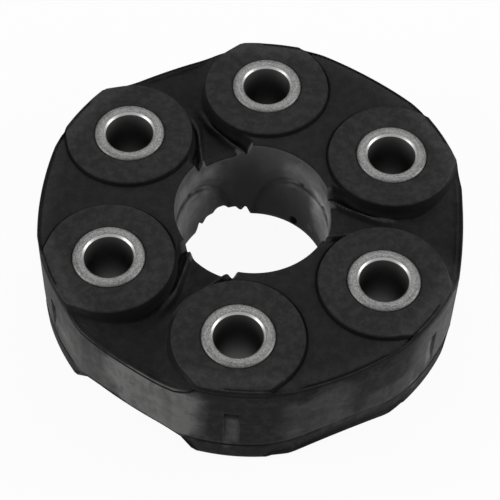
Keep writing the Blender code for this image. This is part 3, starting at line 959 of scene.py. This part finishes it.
def face_colour(tones):
    """The pads and links: pads paler than links, worn patches, painted highlights, fine dark pits,
    painted shade.
    """
    top = tones.height.between(*PAD_HEIGHTS)
    colour = top.blend(LAND_BLACK, PAD_BLACK)
    colour = wear_and_highlight_share(tones, top).blend(colour, WORN_AND_HIGHLIGHT_BLACK)
    pits = 0.40 * tones.grain.between(0.52, 0.68) + 0.24 * tones.mottle.between(0.58, 0.38)
    colour = pits.blend(colour, PIT_AND_SHADE_BLACK)
    # Painted shade on steep slopes off the pad tops: pad flanks, ramp sides and crease sides
    painted_slope_shade = tones.upright.between(0.10, 0.50) * (1 - top)
    return (0.8 * painted_slope_shade).blend(colour, PIT_AND_SHADE_BLACK)


def wall_colour(tones):
    """The bare walls, with a few paler patches."""
    patches = tones.mottle.between(0.40, 0.66) * tones.clouds.between(0.35, 0.62)
    return (0.40 * patches).blend(WALL_BLACK, WORN_AND_HIGHLIGHT_BLACK)


def moulded_rubber():
    """Dull black rubber: paler worn pads, dark links, and a grey bloom over the walls, partly
    painted light.
    """
    made, shader, place = new_finish("moulded_rubber")
    tones = rubber_tones(place)
    streaks = place.scaled(1.0, 1.0, STREAK_STRETCH)
    streaks = streaks.noise(STREAKS_PER_METRE, detail=3.0, roughness=0.6)
    on_wall = tones.from_axis.between(*WALL_REACH_BAND) * tones.upright.between(0.35, 0.75)
    in_hole = tones.from_axis.between(*HOLE_REACH_BAND) * tones.upright.between(0.30, 0.60)
    # Painted shade along the upper seam, where the bloom is also left off
    painted_seam_shade = place.part("Z").within(*SEAM_SHADE_HEIGHTS) * on_wall
    colour = (on_wall + in_hole).clipped().blend(face_colour(tones), wall_colour(tones))
    colour = painted_seam_shade.blend(colour, PIT_AND_SHADE_BLACK)
    # The middle hole's wall gets painted light
    colour = in_hole.blend(colour, HOLE_PAINTED_LIGHT_BLACK)
    uneven = 0.45 + 0.55 * tones.clouds.between(0.3, 0.7) + 0.25 * streaks.between(0.35, 0.7)
    uneven = (uneven + 0.25 * tones.mottle.between(0.40, 0.65)) * (1 - painted_seam_shade)
    # Bloom with painted light on the outer wall and in the slots
    bloom_and_light = bloom_and_light_share(place, tones.wander, WALL_BLOOM_AND_LIGHT, WALL_BLOOM_AND_LIGHT_PATCHES + SLOT_BLOOM_AND_LIGHT_PATCHES)
    hole_painted_light = bloom_and_light_share(place, tones.wander, HOLE_PAINTED_LIGHT_BASE, HOLE_LIGHT_PATCHES)
    colour = (on_wall * bloom_and_light * uneven).clipped().blend(colour, BLOOM_AND_LIGHT_GREY)
    colour = (in_hole * hole_painted_light * uneven).clipped().blend(colour, HOLE_PAINTED_LIGHT_GREY)
    colour.feed(shader, "Base Color")
    (0.58 + 0.14 * tones.clouds + 0.14 * tones.grain).feed(shader, "Roughness")
    shader.inputs["Specular IOR Level"].default_value = RUBBER_SPECULAR
    ripple = place.noise(RIPPLES_PER_METRE, detail=3.0)
    specks = place.noise(SPECKS_PER_METRE, detail=2.0, roughness=0.6)
    relief = 0.9 * ripple + 0.30 * tones.grain + 0.10 * specks + 0.25 * tones.upright * streaks
    relief.bump(RUBBER_RELIEF, 0.8).feed(shader, "Normal")
    return made


rubber = rubber_mesh()
join_seams(rubber, WELD_DISTANCE)
smooth_but_for_edges(rubber, RUBBER_SHARP_ANGLE)
show("moulded_rubber_body", rubber, moulded_rubber(), ["rubber_body"])


# Sleeve collars
# Flat rings stamped from steel sheet and pushed onto the sleeves, four to a sleeve.
# They keep the cord loops apart, and the rubber is bonded to them through a grey primer.

PRESSED_STEEL = (0.30, 0.30, 0.31)
PRIMER_GREY = (0.12, 0.12, 0.125)
PRIMER_PATCHES_PER_METRE = 260
PRIMER_GRAINS_PER_METRE = 1800
PRIMER_RELIEF = 0.00004


def primed_steel():
    made, shader, place = new_finish("primed_steel")
    patches = place.noise(PRIMER_PATCHES_PER_METRE, detail=4.0, roughness=0.6).between(0.35, 0.65)
    grain = place.noise(PRIMER_GRAINS_PER_METRE, detail=2.0)
    patches.blend(PRESSED_STEEL, PRIMER_GREY).feed(shader, "Base Color")
    (0.35 + 0.3 * patches + 0.1 * grain).feed(shader, "Roughness")
    (1 - 0.7 * patches).feed(shader, "Metallic")
    (0.7 * grain + 0.3 * patches).bump(PRIMER_RELIEF, 0.5).feed(shader, "Normal")
    return made


def refinish(prefixes, material):
    """Gives a new finish to every carried-over node whose name starts with one of these."""
    for name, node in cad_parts.items():
        if name.startswith(prefixes):
            for slot in node.material_slots:
                slot.material = material


refinish(("outer_collar", "inner_collar"), primed_steel())


# Cord loops
# Polyester cord wound many times round two neighbouring sleeves, two loops in each thick link and
# one in each thin link. They carry the pull between the bolts, and are dipped so that rubber bonds.

CORD_PITCH = 0.0009
CORD_RELIEF = 0.0002
FIBRES_PER_METRE = 3000
DIPPED_CORD = (0.36, 0.27, 0.15)
CORD_SHADOW = (0.14, 0.09, 0.045)


def wound_cord():
    made, shader, place = new_finish("wound_cord")
    turns = (place.part("Z") / CORD_PITCH * math.tau).sine()
    fibres = place.scaled(1.0, 1.0, 0.3).noise(FIBRES_PER_METRE, detail=3.0)
    lay = 0.5 + 0.5 * turns
    (0.7 * lay + 0.3 * fibres).clipped().blend(CORD_SHADOW, DIPPED_CORD).feed(shader, "Base Color")
    (0.75 + 0.15 * fibres).feed(shader, "Roughness")
    (0.8 * lay + 0.2 * fibres).bump(CORD_RELIEF, 0.8).feed(shader, "Normal")
    return made


refinish(("drive_cord", "overrun_cord"), wound_cord())


# Floor, light and camera
# A plain white floor and room, with soft lamps on both sides and above.
# The camera has a long lens and looks down from in front, leaning slightly to one side.

FLOOR_WHITE = (0.86, 0.86, 0.86)
FLOOR_PALER_WHITE = (0.88, 0.88, 0.88)
FLOOR_GLOW_SHARE = 0.94
FLOOR_HALF_WIDTH = 3.0
SKY_STRENGTH = 0.21
JOINT_CENTRE = np.zeros(3)

# Each lamp has its name, place, width and power in watts
LAMPS = [
    ("left_lamp", (-0.55, -0.20, 0.26), 0.35, 2.0),
    ("right_lamp", (0.57, 0.02, 0.28), 0.35, 2.0),
    ("top_lamp", (0.00, 0.28, 0.40), 0.40, 0.8),
]

CAMERA_ELEVATION = math.radians(55.039)
CAMERA_ROLL = math.radians(1.7088)
CAMERA_SWING = math.radians(3.893)
CAMERA_PLACE = (-0.000473, -0.262337, 0.371415)
SENSOR_MILLIMETRES = 36.0
LENS_MILLIMETRES = 126.947


def seen_directly(wire):
    """1 for rays from the camera, from a mirror or through glass, which see a plain white room."""
    seen = wire.node("LightPath", None, None, "Is Camera Ray")
    glossy = wire.node("LightPath", None, None, "Is Glossy Ray")
    clear = wire.node("LightPath", None, None, "Is Transmission Ray")
    return (seen + glossy + clear).clipped()


def white_floor():
    """Seen by the camera it is close to white, and it still takes a faint shadow."""
    made, shader, place = new_finish("white_floor")
    tree = made.node_tree
    shader.inputs["Roughness"].default_value = 0.9
    mottle = place.noise(8, detail=2.0)
    mottle.blend(FLOOR_WHITE, FLOOR_PALER_WHITE).feed(shader, "Base Color")
    share = seen_directly(place) * FLOOR_GLOW_SHARE
    glow = place.node("Emission", None, {"Color": (1.0, 1.0, 1.0, 1.0), "Strength": 1.0})
    mixed = place.node("MixShader", None, {0: share, 2: glow})
    tree.links.new(shader.outputs[0], mixed.socket.node.inputs[1])
    tree.links.new(mixed.socket, tree.nodes["Material Output"].inputs["Surface"])
    return made


def add_floor():
    half = FLOOR_HALF_WIDTH
    corners = [(-half, -half, 0.0), (half, -half, 0.0), (half, half, 0.0), (-half, half, 0.0)]
    mesh = bpy.data.meshes.new("floor")
    mesh.from_pydata(corners, [], [(0, 1, 2, 3)])
    mesh.materials.append(white_floor())
    floor = bpy.data.objects.new("floor", mesh)
    bpy.context.scene.collection.objects.link(floor)
    floor.location = (0.0, 0.0, -SLEEVE_TOP)


def add_world():
    world = bpy.data.worlds.new("white_room")
    bpy.context.scene.world = world
    world.use_nodes = True
    back = world.node_tree.nodes["Background"]
    direct = seen_directly(Wire(back.inputs["Color"]))
    (SKY_STRENGTH + (1 - SKY_STRENGTH) * direct).feed(back, "Strength")
    back.inputs["Color"].default_value = (1.0, 1.0, 1.0, 1.0)


def add_lamp(name, place, width, power):
    """A square soft lamp that faces the joint."""
    lamp = bpy.data.lights.new(name, "AREA")
    lamp.shape = "SQUARE"
    lamp.size = width
    lamp.energy = power
    holder = bpy.data.objects.new(name, lamp)
    bpy.context.scene.collection.objects.link(holder)
    holder.location = place
    direction = JOINT_CENTRE - np.array(place)
    tilt = math.atan2(math.hypot(direction[0], direction[1]), -direction[2])
    heading = math.atan2(direction[0], -direction[1]) + math.pi
    holder.rotation_euler = (tilt, 0.0, heading)


def camera_matrix():
    """The camera's axes and place: tilted down and rolled, then swung round the shaft's axis."""
    back = np.array([0.0, -math.cos(CAMERA_ELEVATION), math.sin(CAMERA_ELEVATION)])
    right = np.array([1.0, 0.0, 0.0])
    up = np.cross(back, right)
    leaning_right = math.cos(CAMERA_ROLL) * right + math.sin(CAMERA_ROLL) * up
    leaning_up = -math.sin(CAMERA_ROLL) * right + math.cos(CAMERA_ROLL) * up
    swing = np.array(
        [
            [math.cos(CAMERA_SWING), -math.sin(CAMERA_SWING), 0.0],
            [math.sin(CAMERA_SWING), math.cos(CAMERA_SWING), 0.0],
            [0.0, 0.0, 1.0],
        ]
    )
    matrix = np.eye(4)
    for column, axis in enumerate((leaning_right, leaning_up, back, np.array(CAMERA_PLACE))):
        matrix[:3, column] = swing @ axis
    return matrix


def add_camera():
    lens = bpy.data.cameras.new("camera")
    lens.sensor_width = SENSOR_MILLIMETRES
    lens.lens = LENS_MILLIMETRES
    camera = bpy.data.objects.new("camera", lens)
    bpy.context.scene.collection.objects.link(camera)
    camera.matrix_world = camera_matrix().T.tolist()
    bpy.context.scene.camera = camera


add_floor()
add_world()
for lamp in LAMPS:
    add_lamp(*lamp)
add_camera()
bpy.context.scene.view_settings.view_transform = "Standard"
